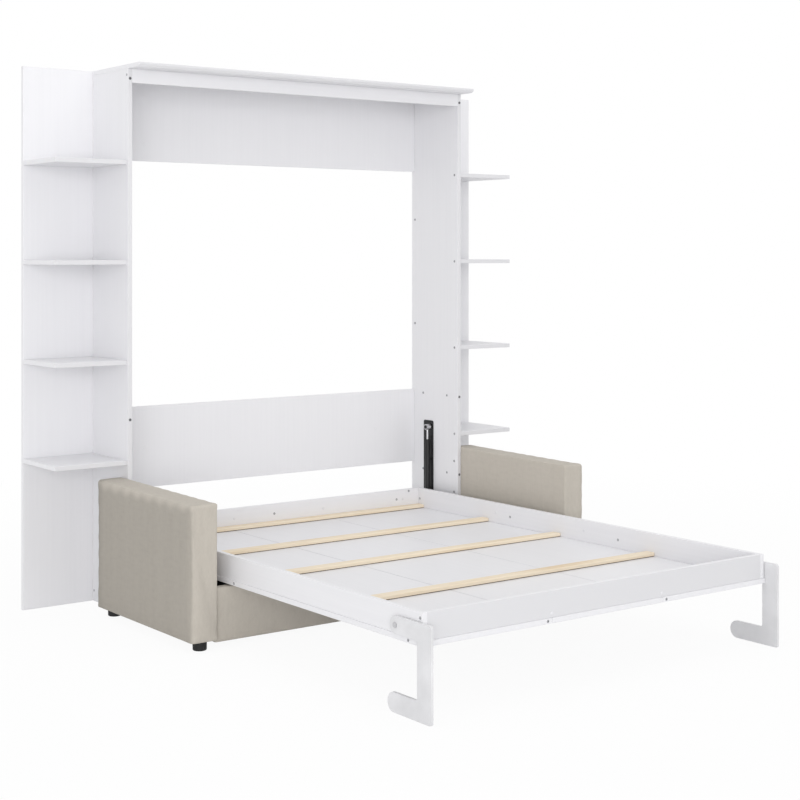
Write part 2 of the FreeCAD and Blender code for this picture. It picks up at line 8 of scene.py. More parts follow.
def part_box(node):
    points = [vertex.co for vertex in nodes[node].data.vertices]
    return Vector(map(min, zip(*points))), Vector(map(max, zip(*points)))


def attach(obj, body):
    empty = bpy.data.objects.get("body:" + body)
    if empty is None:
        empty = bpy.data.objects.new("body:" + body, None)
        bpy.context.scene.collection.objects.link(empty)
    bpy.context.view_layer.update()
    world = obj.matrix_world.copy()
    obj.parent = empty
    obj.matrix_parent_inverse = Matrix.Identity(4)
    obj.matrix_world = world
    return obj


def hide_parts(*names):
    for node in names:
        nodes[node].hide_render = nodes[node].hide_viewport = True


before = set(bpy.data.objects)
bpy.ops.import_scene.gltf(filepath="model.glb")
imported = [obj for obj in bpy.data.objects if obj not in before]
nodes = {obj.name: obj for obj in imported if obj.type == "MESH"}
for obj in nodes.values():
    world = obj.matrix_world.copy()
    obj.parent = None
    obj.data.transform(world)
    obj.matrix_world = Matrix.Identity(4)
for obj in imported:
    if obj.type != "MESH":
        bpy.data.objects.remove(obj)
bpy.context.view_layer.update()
scene = bpy.context.scene
print("frame loaded:", len(nodes), "nodes")

sides = {"left": -1, "right": 1}     # which way each lies along X
toFront = Vector((0, -1, 0))
weldGap = 1e-5                       # corners closer than this are one


# Materials

def newMaterial(name, color, roughness, extra=None):
    mat = bpy.data.materials.new(name)
    mat.use_nodes = True
    shader = mat.node_tree.nodes["Principled BSDF"]
    shader.inputs["Base Color"].default_value = (*color, 1)
    shader.inputs["Roughness"].default_value = roughness
    for socket, value in (extra or {}).items():
        shader.inputs[socket].default_value = value
    return mat, mat.node_tree, shader


def objectCoords(tree, stretch=(1, 1, 1)):
    coords = tree.nodes.new("ShaderNodeTexCoord")
    mapping = tree.nodes.new("ShaderNodeMapping")
    mapping.inputs["Scale"].default_value = stretch
    tree.links.new(coords.outputs["Object"], mapping.inputs["Vector"])
    return mapping.outputs["Vector"]


def splitCoords(tree):
    split = tree.nodes.new("ShaderNodeSeparateXYZ")
    tree.links.new(objectCoords(tree), split.inputs["Vector"])
    return split.outputs


def addNoise(tree, scale, stretch=(1, 1, 1), detail=3.0):
    tex = tree.nodes.new("ShaderNodeTexNoise")
    tex.inputs["Scale"].default_value = scale
    tex.inputs["Detail"].default_value = detail
    tree.links.new(objectCoords(tree, stretch), tex.inputs["Vector"])
    return tex.outputs["Fac"]


waveTurn = math.tau / 20.0      # the wave texture has 20 radians to a unit


def addWave(tree, pitch, axis, distortion=0.0):
    tex = tree.nodes.new("ShaderNodeTexWave")
    tex.bands_direction = axis
    tex.inputs["Scale"].default_value = waveTurn / pitch
    tex.inputs["Distortion"].default_value = distortion
    tree.links.new(objectCoords(tree), tex.inputs["Vector"])
    return tex.outputs["Fac"]


def addRamp(tree, fac, stops, colors):
    ramp = tree.nodes.new("ShaderNodeValToRGB")
    elements = ramp.color_ramp.elements
    while len(elements) < len(stops):
        elements.new(0.5)
    for element, stop, color in zip(elements, stops, colors):
        element.position = stop
        element.color = (*color, 1)
    tree.links.new(fac, ramp.inputs["Fac"])
    return ramp.outputs["Color"]


def addMath(tree, operation, first, second):
    node = tree.nodes.new("ShaderNodeMath")
    node.operation = operation
    for socket, value in zip(node.inputs, (first, second)):
        if isinstance(value, (int, float)):
            socket.default_value = value
        else:
            tree.links.new(value, socket)
    return node.outputs["Value"]


def addMix(tree, fac, first, second, blend="MIX"):
    node = tree.nodes.new("ShaderNodeMix")
    node.data_type = "RGBA"
    node.blend_type = blend
    sockets = (node.inputs[0], node.inputs[6], node.inputs[7])      # the factor and two colors
    for socket, value in zip(sockets, (fac, first, second)):
        if isinstance(value, (int, float)):
            socket.default_value = value
        elif isinstance(value, tuple):
            socket.default_value = (*value, 1)
        else:
            tree.links.new(value, socket)
    return node.outputs[2]


# a bump over those the shader already has
def addBump(tree, shader, height, strength, distance):
    bump = tree.nodes.new("ShaderNodeBump")
    bump.inputs["Strength"].default_value = strength
    bump.inputs["Distance"].default_value = distance
    tree.links.new(height, bump.inputs["Height"])
    if shader.inputs["Normal"].links:
        earlier = shader.inputs["Normal"].links[0].from_socket
        tree.links.new(earlier, bump.inputs["Normal"])
    tree.links.new(bump.outputs["Normal"], shader.inputs["Normal"])


def addRange(tree, fac, low, high):
    node = tree.nodes.new("ShaderNodeMapRange")
    node.inputs["To Min"].default_value = low
    node.inputs["To Max"].default_value = high
    tree.links.new(fac, node.inputs["Value"])
    return node.outputs["Result"]


def addStep(tree, value, start, end):
    node = tree.nodes.new("ShaderNodeMapRange")
    node.interpolation_type = "SMOOTHSTEP"
    node.inputs["From Min"].default_value = start
    node.inputs["From Max"].default_value = end
    tree.links.new(value, node.inputs["Value"])
    return node.outputs["Result"]


boardFinish = {
    "color": (0.80, 0.798, 0.818),
    "streak": (0.786, 0.784, 0.805),     # faint printed grain
    "band": (0.69, 0.688, 0.706),        # painted shade: the front faces are a shade greyer, as if less lit
    "bandDepth": 0.0006,
    "roughness": 0.4, "roughnessRange": (0.36, 0.46),
    "grainScale": 90.0, "grainStretch": 0.02, "grainDetail": 4.0,
    "grainStops": (0.30, 0.58), "grainBump": (0.03, 0.0006),
    "cloudScale": 2.2, "cloudDetail": 2.0, "cloudShares": (0.7, 1.15),
    "peelScale": 420.0, "peelDetail": 1.0, "peelBump": (0.03, 0.0004),
}


# grain along one axis, and painted shade on the front faces of a node that is named
def makeBoardMaterial(grainAxis, shadedFrontNode=None):
    board = boardFinish
    mat, tree, shader = newMaterial("whiteBoard" + grainAxis, board["color"], board["roughness"])
    stretch = [1.0, 1.0, 1.0]
    stretch["XYZ".index(grainAxis)] = board["grainStretch"]
    grain = addNoise(tree, board["grainScale"], stretch, board["grainDetail"])
    cloud = addNoise(tree, board["cloudScale"], detail=board["cloudDetail"])
    tone = addMath(tree, "MULTIPLY", grain, addRange(tree, cloud, *board["cloudShares"]))
    color = addRamp(tree, tone, board["grainStops"], (board["streak"], board["color"]))
    # painted shade: the named node's front faces are made greyer, as if less lit
    if shadedFrontNode:
        mat.name += "_" + shadedFrontNode
        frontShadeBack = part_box(shadedFrontNode)[0].y + board["bandDepth"]
        band = addMath(tree, "LESS_THAN", splitCoords(tree)["Y"], frontShadeBack)
        color = addMix(tree, band, color, board["band"])
    tree.links.new(color, shader.inputs["Base Color"])
    peel = addNoise(tree, board["peelScale"], detail=board["peelDetail"])
    rough = addRange(tree, peel, *board["roughnessRange"])
    tree.links.new(rough, shader.inputs["Roughness"])
    addBump(tree, shader, grain, *board["grainBump"])
    addBump(tree, shader, peel, *board["peelBump"])
    return mat


pineFinish = {
    "pale": (0.84, 0.735, 0.575),
    "mid": (0.80, 0.675, 0.50),
    "late": (0.72, 0.57, 0.39),         # late-wood lines
    "foot": (0.16, 0.10, 0.055),        # painted shade: a dark brown line where the slats sit on the deck
    "footRise": 0.003,
    "roughness": 0.55, "roughnessRange": (0.48, 0.66),
    "ringScale": 26.0, "ringStretch": (0.05, 1.0, 1.0), "ringDetail": 5.0,
    "ringStops": (0.32, 0.42, 0.52, 0.66), "ringBump": (0.12, 0.0008),
    "fibreScale": 380.0, "fibreStretch": (0.03, 1.0, 1.0), "fibreDetail": 3.0,
    "fibreShift": (-0.06, 0.06), "fibreBump": (0.1, 0.0005),
}


def makePineMaterial(deckTop):
    pine = pineFinish
    mat, tree, shader = newMaterial("planedPine", pine["mid"], pine["roughness"])
    ring = addNoise(tree, pine["ringScale"], pine["ringStretch"], pine["ringDetail"])
    fibre = addNoise(tree, pine["fibreScale"], pine["fibreStretch"], pine["fibreDetail"])
    tone = addMath(tree, "ADD", ring, addRange(tree, fibre, *pine["fibreShift"]))
    woods = (pine["late"], pine["mid"], pine["pale"], pine["mid"])
    wood = addRamp(tree, tone, pine["ringStops"], woods)
    # painted shade along the slats' bottom, where they meet the deck
    foot = addMath(tree, "LESS_THAN", splitCoords(tree)["Z"], deckTop + pine["footRise"])
    tree.links.new(addMix(tree, foot, wood, pine["foot"]), shader.inputs["Base Color"])
    rough = addRange(tree, fibre, *pine["roughnessRange"])
    tree.links.new(rough, shader.inputs["Roughness"])
    addBump(tree, shader, ring, *pine["ringBump"])
    addBump(tree, shader, fibre, *pine["fibreBump"])
    return mat


linenFinish = {
    "thread": (0.520, 0.482, 0.425),
    "slub": (0.538, 0.499, 0.441),
    "gap": (0.502, 0.465, 0.410),
    "pitch": 0.0014,                    # metres from thread to thread
    "weaveBump": (0.25, 0.0004),
    "roughness": 0.92,
    "sheen": {"Sheen Weight": 0.06, "Sheen Roughness": 0.6, "Specular IOR Level": 0.2},
    "slubScale": 210.0, "slubDetail": 3.0,
    "slubAcross": (1.0, 0.12, 0.35), "slubAlong": (0.35, 1.0, 0.12),
    "slubStops": (0.13, 0.22, 0.40), "slubBump": (0.1, 0.0005),
    "streakScale": 38.0, "streakStretch": (1.0, 1.0, 0.04), "streakDetail": 2.0,
    "streakStops": (0.3, 0.7), "streakTones": ((0.97, 0.97, 0.968), (1.0, 1.0, 1.0)),
}
# the arms' outer panels carry painted shade, darker than the rest of the linen
panelShadeFinish = {
    "tone": 0.75,
    "backTone": 0.88,                   # painted shade, darker still along the panel's back edge
    "scallop": 0.009, "scallopPitch": 0.09, "scallopWander": 1.2,
    # where the tone starts and ends, from the arm's outer face, top, front and back
    "side": (-0.022, -0.002), "top": (0.006, -0.034),
    "front": (-0.007, 0.010), "back": (-0.075, -0.010),
}


# the panels' painted shade, soft along their top and front rolls, and 1 on the rest of the linen
def paintedPanelShade(tree, armBox):
    low, high = armBox
    place = splitCoords(tree)

    def fade(value, edge, name):
        start, end = panelShadeFinish[name]
        return addStep(tree, value, edge + start, edge + end)

    reach = max(abs(low.x), abs(high.x))
    side = fade(addMath(tree, "ABSOLUTE", place["X"], 0.0), reach, "side")
    scallop = addWave(tree, panelShadeFinish["scallopPitch"], "Y", panelShadeFinish["scallopWander"])
    rise = addMath(tree, "ADD", place["Z"], addRange(tree, scallop, 0.0, panelShadeFinish["scallop"]))
    top = fade(rise, high.z, "top")
    front = fade(place["Y"], low.y, "front")
    panel = addMath(tree, "MULTIPLY", side, addMath(tree, "MULTIPLY", top, front))
    backEdgeShade = addMath(tree, "MULTIPLY", side, fade(place["Y"], high.y, "back"))
    tone = addRange(tree, panel, 1.0, panelShadeFinish["tone"])
    return addMath(tree, "MULTIPLY", tone, addRange(tree, backEdgeShade, 1.0, panelShadeFinish["backTone"]))


def makeLinenMaterial(armBox):
    linen = linenFinish
    mat, tree, shader = newMaterial(
        "linenWeave", linen["thread"], linen["roughness"], linen["sheen"],
    )
    weave = addWave(tree, linen["pitch"], "X")
    for axis in "YZ":
        weave = addMath(tree, "ADD", weave, addWave(tree, linen["pitch"], axis))
    across = addNoise(tree, linen["slubScale"], linen["slubAcross"], linen["slubDetail"])
    along = addNoise(tree, linen["slubScale"], linen["slubAlong"], linen["slubDetail"])
    slub = addMath(tree, "MULTIPLY", across, along)
    threads = (linen["gap"], linen["thread"], linen["slub"])
    color = addRamp(tree, slub, linen["slubStops"], threads)
    streak = addNoise(tree, linen["streakScale"], linen["streakStretch"], linen["streakDetail"])
    tone = addRamp(tree, streak, linen["streakStops"], linen["streakTones"])
    color = addMix(tree, 1.0, color, tone, "MULTIPLY")
    # painted shade on the arms' outer panels
    color = addMix(tree, 1.0, color, paintedPanelShade(tree, armBox), "MULTIPLY")
    tree.links.new(color, shader.inputs["Base Color"])
    addBump(tree, shader, weave, *linen["weaveBump"])
    addBump(tree, shader, slub, *linen["slubBump"])
    return mat


coatFinish = {
    "shade": 0.9,                       # share of the color that the darker clouds keep
    "cloudScale": 9.0, "cloudDetail": 3.0, "cloudStops": (0.35, 0.65),
    "grainDetail": 2.0, "bumpDepth": 0.0006,
    "roughnessSpread": (-0.06, 0.08),
}
# paints, stain and plastics, with the scale of the grain and the strength of its bump
coats = {
    "stain": {
        "name": "blackStain", "color": (0.012, 0.012, 0.013),
        "roughness": 0.7, "grain": 240.0, "bump": 0.15,
    },
    "blackSteel": {
        "name": "blackPowderCoat", "color": (0.007, 0.007, 0.008),
        "roughness": 0.55, "grain": 700.0, "bump": 0.15,
    },
    "whiteSteel": {
        "name": "whitePowderCoat", "color": (0.75, 0.75, 0.765),
        "roughness": 0.38, "grain": 500.0, "bump": 0.08,
    },
    "whiteCover": {
        "name": "whiteCover", "color": (0.77, 0.77, 0.795),
        "roughness": 0.4, "grain": 300.0, "bump": 0.05,
    },
    "greyCover": {
        "name": "greyCover", "color": (0.40, 0.40, 0.42),
        "roughness": 0.4, "grain": 300.0, "bump": 0.05,
    },
    "darkCover": {
        "name": "darkCover", "color": (0.15, 0.15, 0.16),
        "roughness": 0.4, "grain": 300.0, "bump": 0.05,
    },
    "recess": {
        "name": "recessDark", "color": (0.06, 0.06, 0.065),
        "roughness": 0.5, "grain": 300.0, "bump": 0.05,
    },
    "bush": {
        "name": "bushPlastic", "color": (0.05, 0.05, 0.055),
        "roughness": 0.45, "grain": 300.0, "bump": 0.05,
    },
    "footPlastic": {
        "name": "footPlastic", "color": (0.005, 0.005, 0.005),
        "roughness": 0.72, "grain": 260.0, "bump": 0.12,
    },
    "seam": {
        "name": "seamShade", "color": (0.60, 0.60, 0.63),
        "roughness": 0.7, "grain": 260.0, "bump": 0.02,
    },
}


def makeCoatMaterial(coat):
    color, roughness = coat["color"], coat["roughness"]
    mat, tree, shader = newMaterial(coat["name"], color, roughness)
    grain = addNoise(tree, coat["grain"], detail=coatFinish["grainDetail"])
    cloud = addNoise(tree, coatFinish["cloudScale"], detail=coatFinish["cloudDetail"])
    shade = tuple(value * coatFinish["shade"] for value in color)
    tone = addRamp(tree, cloud, coatFinish["cloudStops"], (shade, color))
    tree.links.new(tone, shader.inputs["Base Color"])
    smoother, rougher = coatFinish["roughnessSpread"]
    rough = addRange(tree, grain, roughness + smoother, roughness + rougher)
    tree.links.new(rough, shader.inputs["Roughness"])
    addBump(tree, shader, grain, coat["bump"], coatFinish["bumpDepth"])
    return mat


steelFinish = {
    "color": (0.62, 0.62, 0.635),
    "roughness": 0.3, "roughnessRange": (0.2, 0.42),
    "brushScale": 260.0, "brushStretch": (1.0, 1.0, 0.08), "brushBump": (0.05, 0.0003),
    "cloudScale": 60.0, "cloudStops": (0.3, 0.7),
    "cloudTones": ((0.50, 0.50, 0.52), (0.68, 0.68, 0.69)),
}


def makeSteelMaterial():
    zinc = steelFinish
    mat, tree, shader = newMaterial(
        "zincSteel", zinc["color"], zinc["roughness"], {"Metallic": 1.0},
    )
    brush = addNoise(tree, zinc["brushScale"], zinc["brushStretch"])
    rough = addRange(tree, brush, *zinc["roughnessRange"])
    tree.links.new(rough, shader.inputs["Roughness"])
    cloud = addNoise(tree, zinc["cloudScale"])
    tone = addRamp(tree, cloud, zinc["cloudStops"], zinc["cloudTones"])
    tree.links.new(tone, shader.inputs["Base Color"])
    addBump(tree, shader, brush, *zinc["brushBump"])
    return mat


finish = {
    "boardX": makeBoardMaterial("X"),
    "boardY": makeBoardMaterial("Y"),
    "boardZ": makeBoardMaterial("Z"),
    # boards whose front faces carry painted shade
    "bandedPost": makeBoardMaterial("Z", "left_post"),
    "bandedShelf": makeBoardMaterial("X", "left_shelf_1"),
    "bandedTop": makeBoardMaterial("X", "top_board"),
    "bandedFoot": makeBoardMaterial("X", "foot_rail"),
    "pine": makePineMaterial(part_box("slat_1")[0].z),
    "linen": makeLinenMaterial(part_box("left_arm")),
    "steel": makeSteelMaterial(),
}
for name, coat in coats.items():
    finish[name] = makeCoatMaterial(coat)
print("materials made:", len(finish))

# the words that a node's name starts or ends with, where the longest one counts
nodeFinish = {
    # these boards carry painted shade on their front faces
    "bandedPost": ["post"],
    "bandedShelf": ["shelf"],
    "bandedTop": ["top_board"],
    "bandedFoot": ["foot_rail"],
    "boardZ": ["shelf_back", "back_board"],
    "boardX": ["frieze", "head_rail"],
    "boardY": ["side_rail", "deck_panel"],
    "pine": ["slat"],
    "stain": ["seat_rail", "seat_platform"],
    "blackSteel": [
        "lift_plate", "pivot_bracket", "strut_cylinder", "strut_pin",
        "lift_plate_bolts", "strut_studs", "pivot_pin",
    ],
    "whiteSteel": ["leg"],
    "steel": ["strut_rod", "leg_pivot_bolts"],
    "bush": ["pivot_bushes"],
}


def finishFor(node):
    bare = node.replace("left_", "").replace("right_", "")
    found = [
        (len(word), name)
        for name, words in nodeFinish.items()
        for word in words
        if bare.startswith(word) or bare.endswith(word)
    ]
    return max(found)[1] if found else None


for node, piece in nodes.items():
    name = finishFor(node)
    if name:
        piece.data.materials.clear()
        piece.data.materials.append(finish[name])
print("frame painted")


# New pieces

def addPiece(name, bm, body, mats):
    mesh = bpy.data.meshes.new(name)
    bm.to_mesh(mesh)
    bm.free()
    for mat in mats:
        mesh.materials.append(mat)
    piece = bpy.data.objects.new(name, mesh)
    scene.collection.objects.link(piece)
    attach(piece, body)
    return piece


# the boxes of a node's separate solids
def islandsOf(node):
    bm = bmesh.new()
    bm.from_mesh(nodes[node].data)
    bmesh.ops.remove_doubles(bm, verts=bm.verts, dist=weldGap)
    left = set(bm.verts)
    boxes = []
    while left:
        front = [left.pop()]
        island = list(front)
        while front:
            vert = front.pop()
            for edge in vert.link_edges:
                other = edge.other_vert(vert)
                if other in left:
                    left.remove(other)
                    front.append(other)
                    island.append(other)
        low = Vector(min(vert.co[axis] for vert in island) for axis in range(3))
        high = Vector(max(vert.co[axis] for vert in island) for axis in range(3))
        boxes.append((low, high))
    bm.free()
    return sorted(boxes, key=lambda box: tuple(round(value, 4) for value in box[0]))


screwCover = {
    "sides": 28,
    "crown": 0.82,         # share of the width that stays flat on top
    "recess": 0.40,        # share of the radius
    "recessDepth": 0.0009,
}


def addCover(bm, middle, outward, radius, height):
    turn = Vector((0, 0, 1)).rotation_difference(outward).to_matrix().to_4x4()
    made = bmesh.ops.create_cone(
        bm, cap_ends=True, segments=screwCover["sides"], radius1=radius,
        radius2=radius * screwCover["crown"], depth=height,
        matrix=Matrix.Translation(middle) @ turn,
    )
    bm.normal_update()
    faces = {face for vert in made["verts"] for face in vert.link_faces}
    return max(faces, key=lambda face: face.calc_center_median().dot(outward))


def sinkRecess(bm, top, outward, radius):
    rim = radius * (screwCover["crown"] - screwCover["recess"])
    bmesh.ops.inset_region(bm, faces=[top], thickness=rim)
    hole = bmesh.ops.extrude_face_region(bm, geom=[top])
    moved = [item for item in hole["geom"] if isinstance(item, bmesh.types.BMVert)]
    bmesh.ops.translate(bm, verts=moved, vec=-outward * screwCover["recessDepth"])
    for item in hole["geom"]:
        if isinstance(item, bmesh.types.BMFace):
            item.material_index = 1
    if top.is_valid:
        bmesh.ops.delete(bm, geom=[top], context="FACES_ONLY")


# a cover is thinnest along its own axis, and faces the front or the middle of the bed
def makeCovers(node, body, color, recess):
    bm = bmesh.new()
    for low, high in islandsOf(node):
        size = high - low
        axis = min(range(3), key=lambda index: size[index])
        middle = (low + high) / 2
        outward = Vector((0, 0, 0))
        outward[axis] = -1.0 if axis == 1 or middle.x > 0 else 1.0
        top = addCover(bm, middle, outward, max(size) / 2, size[axis])
        if recess:
            sinkRecess(bm, top, outward, max(size) / 2)
    piece = addPiece(node + "_round", bm, body, [finish[color], finish["recess"]])
    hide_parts(node)


makeCovers("post_screw_covers", "cabinet", "greyCover", True)
makeCovers("front_edge_covers", "cabinet", "darkCover", True)
makeCovers("foot_rail_covers", "bed", "whiteCover", False)
makeCovers("rail_screw_covers", "bed", "whiteCover", False)
print("screw covers made")


# node, face of its box, and shares of the face's length and height, the same on both sides
smallScrews = {
    "radius": 0.0055,
    "height": 0.0008,
    "bed": [
        ("side_rail", "inner", 0.674, 0.44), ("side_rail", "inner", 0.354, 0.40),
        ("side_rail", "inner", 0.986, 0.45), ("side_rail", "outer", 0.006, 0.79),
        ("deck_panel", "outer", 0.540, 0.5), ("deck_panel", "outer", 0.035, 0.5),
        ("deck_panel", "front", 0.965, 0.5),
    ],
    "cabinet": [("post", "outer", 0.872, 0.02), ("post", "outer", 0.034, 0.989)],
    "headRail": [(0.037, 0.89), (0.083, 0.52), (0.482, 0.52), (0.917, 0.52), (0.963, 0.89)],
}


def screwAt(bm, place, outward):
    height = smallScrews["height"]
    middle = place + outward * height / 2
    top = addCover(bm, middle, outward, smallScrews["radius"], height)
    sinkRecess(bm, top, outward, smallScrews["radius"])


def makeSmallScrews(body):
    bm = bmesh.new()
    for side, sign in sides.items():
        for node, face, along, up in smallScrews[body]:
            name = node + "_" + side if node == "deck_panel" else side + "_" + node
            low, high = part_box(name)
            inner, outer = sorted((low.x, high.x), key=abs)
            place = low + Vector((0, (high.y - low.y) * along, (high.z - low.z) * up))
            if face == "front":
                place.x, place.y = outer + (inner - outer) * along, low.y
                screwAt(bm, place, toFront)
            else:
                place.x = outer if face == "outer" else inner
                screwAt(bm, place, Vector((sign if face == "outer" else -sign, 0, 0)))
    if body == "bed":
        low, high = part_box("head_rail")
        for along, up in smallScrews["headRail"]:
            x = low.x + (high.x - low.x) * along
            z = low.z + (high.z - low.z) * up
            screwAt(bm, Vector((x, low.y, z)), toFront)
    mats = [finish["greyCover"], finish["recess"]]
    addPiece(body + "_screws", bm, body, mats)


for body in ("bed", "cabinet"):
    makeSmallScrews(body)
print("small screws set")


# the joints between the three deck panels show as thin lines
deckSeam = {"width": 0.0016, "height": 0.0002}


def makeDeckSeams():
    bm = bmesh.new()
    low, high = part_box("deck_panel_centre")
    size = Vector((deckSeam["width"], high.y - low.y, deckSeam["height"]))
    for x in (low.x, high.x):
        made = bmesh.ops.create_cube(bm, size=1.0)
        bmesh.ops.scale(bm, vec=size, verts=made["verts"])
        place = Vector((x, (low.y + high.y) / 2, high.z + deckSeam["height"] / 2))
        bmesh.ops.translate(bm, vec=place, verts=made["verts"])
    addPiece("deck_seams", bm, "bed", [finish["seam"]])


makeDeckSeams()
print("deck seams drawn")


# white caps close the wall screws' holes: two rows in the upper back board, one in the lower
wallCaps = {
    "reach": 0.6095, "rise": 0.100,     # from the middle of the bed and of the board
    "radius": 0.008, "height": 0.0009,
    "rows": {"upper_back_board": (-1, 1), "lower_back_board": (0,)},
}


def makeWallCaps():
    bm = bmesh.new()
    height = wallCaps["height"]
    for node, rows in wallCaps["rows"].items():
        low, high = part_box(node)
        for sign in sides.values():
            for row in rows:
                x = sign * wallCaps["reach"]
                z = (low.z + high.z) / 2 + row * wallCaps["rise"]
                middle = Vector((x, low.y - height / 2, z))
                addCover(bm, middle, toFront, wallCaps["radius"], height)
    addPiece("wall_screw_caps", bm, "cabinet", [finish["boardZ"]])


makeWallCaps()
print("wall screw caps set")


armFoot = {
    "sides": 40,
    "baseShare": 0.94,          # the foot tapers to this share of its top's radius
    "edge": 0.004,
    "baseRoundShare": 0.3, "rimShare": 0.6,     # shares of the edge
    "rimStep": 0.0012,
}


def makeFeet():
    bm = bmesh.new()
    edge = armFoot["edge"]
    baseRound = edge * armFoot["baseRoundShare"]
    for low, high in islandsOf("arm_feet"):
        middle = (low + high) / 2
        radius = (high.x - low.x) / 2
        base = radius * armFoot["baseShare"]
        profile = [
            (0.0, low.z), (base - edge, low.z),
            (base - baseRound, low.z + baseRound), (base, low.z + edge),
            (radius - armFoot["rimStep"], high.z - edge),
            (radius, high.z - edge * armFoot["rimShare"]), (radius, high.z), (0.0, high.z),
        ]
        verts = [bm.verts.new((middle.x + reach, middle.y, z)) for reach, z in profile]
        edges = [bm.edges.new(pair) for pair in zip(verts, verts[1:])]
        bmesh.ops.spin(
            bm, geom=verts + edges, cent=(middle.x, middle.y, 0), axis=(0, 0, 1),
            angle=math.tau, steps=armFoot["sides"], use_merge=True,
        )
    bmesh.ops.remove_doubles(bm, verts=bm.verts, dist=weldGap)
    bmesh.ops.recalc_face_normals(bm, faces=bm.faces)
    piece = addPiece("arm_feet_turned", bm, "cabinet", [finish["footPlastic"]])
    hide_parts("arm_feet")


makeFeet()
print("feet turned")


# Padded pieces: a grid block is rounded, swells between its sewn edges, and its seams are drawn in

armPad = {
    "step": 0.008,                                      # side of the grid's squares
    "grow": (0.006, 0.005, 0.010), "drop": 0.0005,      # room around the solid and below it
    "round": (0.020, 0.013, 0.017), "innerShare": 0.45,     # the inner edges are rounded less
    "swell": 0.003, "fill": 0.85,                       # the most that the cloth moves
    "tuck": 0.008,                                      # how far inside the edges the seams lie
    "pucker": 0.0016, "puckerStep": 0.07, "puckerReach": 0.030,
    "seam": 0.0014, "seamReach": 0.006,
}
seatPad = {
    "step": 0.009,
    "grow": (0.0, 0.0, 0.0), "drop": 0.004,
    "round": (0.002, 0.010, 0.010), "innerShare": 1.0,
    "swell": 0.003, "fill": 0.8, "tuck": 0.003,
    "pucker": 0.0006, "puckerStep": 0.05, "puckerReach": 0.016,
    "seam": 0.0008, "seamReach": 0.006,
}
clothRun = {
    "frames": 20, "pressure": 4.0, "tension": 12.0, "bending": 0.6, "mass": 0.25,
    "heldShare": 0.75,          # share of a grid step within which a seam holds the cloth
}
# how the puckers wander along a seam and come and go, by noise along it and across the bed
puckerNoise = {
    "reaches": 4,               # they end at so many times their reach
    "wander": 2.4, "wanderAlong": 9.0, "wanderAcross": 3.0, "wanderRow": 1.7,
    "patchShare": 0.5, "patchAlong": 5.0, "patchAcross": 2.0, "patchRow": 4.2,
}


def evaluatedCopy(piece):
    graph = bpy.context.evaluated_depsgraph_get()
    return bpy.data.meshes.new_from_object(piece.evaluated_get(graph))


def gridBlock(name, low, high, step):
    bm = bmesh.new()
    bmesh.ops.create_cube(bm, size=1.0)
    bmesh.ops.scale(bm, vec=high - low, verts=bm.verts)
    bmesh.ops.translate(bm, vec=(low + high) / 2, verts=bm.verts)
    for axis in range(3):
        along = [
            edge for edge in bm.edges
            if abs((edge.verts[1].co - edge.verts[0].co)[axis]) > step
        ]
        cuts = max(1, round((high[axis] - low[axis]) / step) - 1)
        bmesh.ops.subdivide_edges(bm, edges=along, cuts=cuts, use_grid_fill=True)
    mesh = bpy.data.meshes.new(name)
    bm.to_mesh(mesh)
    bm.free()
    block = bpy.data.objects.new(name, mesh)
    scene.collection.objects.link(block)
    return block


def roundBlock(block, low, high, pad):
    inner = min(abs(low.x), abs(high.x))
    for vert in block.data.vertices:
        across = max(0.0, (abs(vert.co.x) - inner) / (high.x - low.x))
        radii = Vector(pad["round"]) * (pad["innerShare"] + (1.0 - pad["innerShare"]) * across)
        core = Vector(
            max(low[axis] + radii[axis], min(high[axis] - radii[axis], vert.co[axis]))
            for axis in range(3)
        )
        core.z = min(high.z - radii.z, vert.co.z)       # the bottom edges stay sharp
        away = Vector((vert.co[axis] - core[axis]) / radii[axis] for axis in range(3))
        if away.length > 1.0:
            vert.co = core + Vector(away[axis] * radii[axis] / away.length for axis in range(3))


def swell(block, pad, held):
    rest = [vert.co.copy() for vert in block.data.vertices]
    group = block.vertex_groups.new(name="held")
    group.add(held, 1.0, "REPLACE")
    cloth = block.modifiers.new("swell", "CLOTH")
    settings = cloth.settings
    settings.use_pressure = True
    settings.uniform_pressure_force = clothRun["pressure"]
    settings.tension_stiffness = clothRun["tension"]
    settings.compression_stiffness = clothRun["tension"]
    settings.bending_stiffness = clothRun["bending"]
    settings.mass = clothRun["mass"]
    settings.vertex_group_mass = "held"
    settings.effector_weights.gravity = 0.0
    cloth.point_cache.frame_start = 1
    cloth.point_cache.frame_end = clothRun["frames"]
    for step in range(1, clothRun["frames"] + 1):
        scene.frame_set(step)
    swollen = evaluatedCopy(block)
    block.modifiers.clear()
    block.vertex_groups.clear()
    for vert, start, grown in zip(block.data.vertices, rest, swollen.vertices):
        move = grown.co - start
        if move.length > pad["swell"]:
            move *= pad["swell"] / move.length
        vert.co = start + move
    scene.frame_set(1)


# a point's distance from the nearest seam, and how far along that seam it lies
def seamOffset(point, seams):
    best = (math.inf, 0.0)
    for start, end in seams:
        run = end - start
        share = max(0.0, min(1.0, (point - start).dot(run) / run.length_squared))
        distance = (point - start - run * share).length
        if distance < best[0]:
            best = (distance, share * run.length)
    return best


def puckerAt(pad, along, x):
    look = puckerNoise
    row = Vector((along * look["wanderAlong"], x * look["wanderAcross"], look["wanderRow"]))
    wander = noise.noise(row) * look["wander"]
    ripple = math.sin(math.tau * along / pad["puckerStep"] + wander)
    row = Vector((along * look["patchAlong"], look["patchRow"], x * look["patchAcross"]))
    patch = look["patchShare"] + look["patchShare"] * noise.noise(row)
    return pad["pucker"] * ripple * patch


